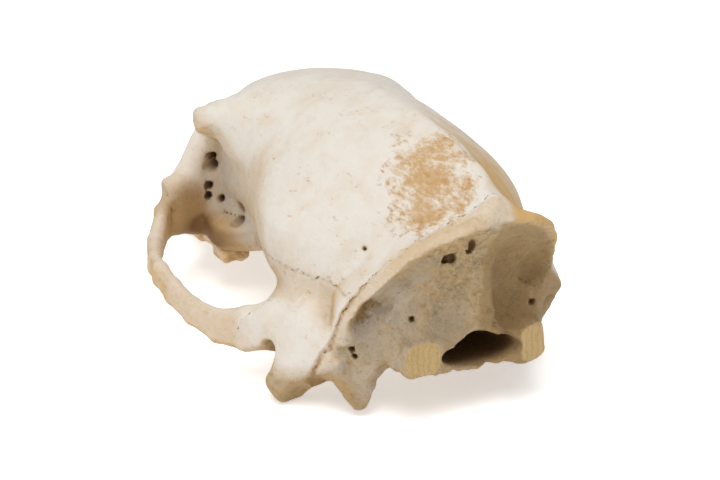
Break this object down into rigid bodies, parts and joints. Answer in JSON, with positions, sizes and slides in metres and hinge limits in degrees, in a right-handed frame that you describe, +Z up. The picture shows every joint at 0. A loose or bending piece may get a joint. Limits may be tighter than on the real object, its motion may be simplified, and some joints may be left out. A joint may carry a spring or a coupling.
{
  "type": "bear skull",
  "caption": "Cranium of a young bear without its lower jaw: domed braincase, crested back, slender cheek arches, short snout with upper teeth.",
  "frame": {"origin": "middle of the skull's box on the surface that it stands on", "axes": "+Z up, snout toward -Y, the animal's left side toward +X"},
  "size_m": [0.1244, 0.1954, 0.0783],
  "materials": {
    "pale_bone": "dry matt bone, cream white with faint tan staining",
    "tan_bone": "dry matt bone, stained tan and grey in the hollows",
    "snout_bone": "dry matt bone with honey-coloured teeth"
  },
  "bodies": {
    "root": {"braincase": "pale_bone", "temple_left": "pale_bone", "temple_right": "pale_bone", "cheek_arch_left": "pale_bone", "cheek_arch_right": "pale_bone", "occiput": "tan_bone", "occiput_base": "tan_bone", "snout": "snout_bone"}
  },
  "joints": []
}
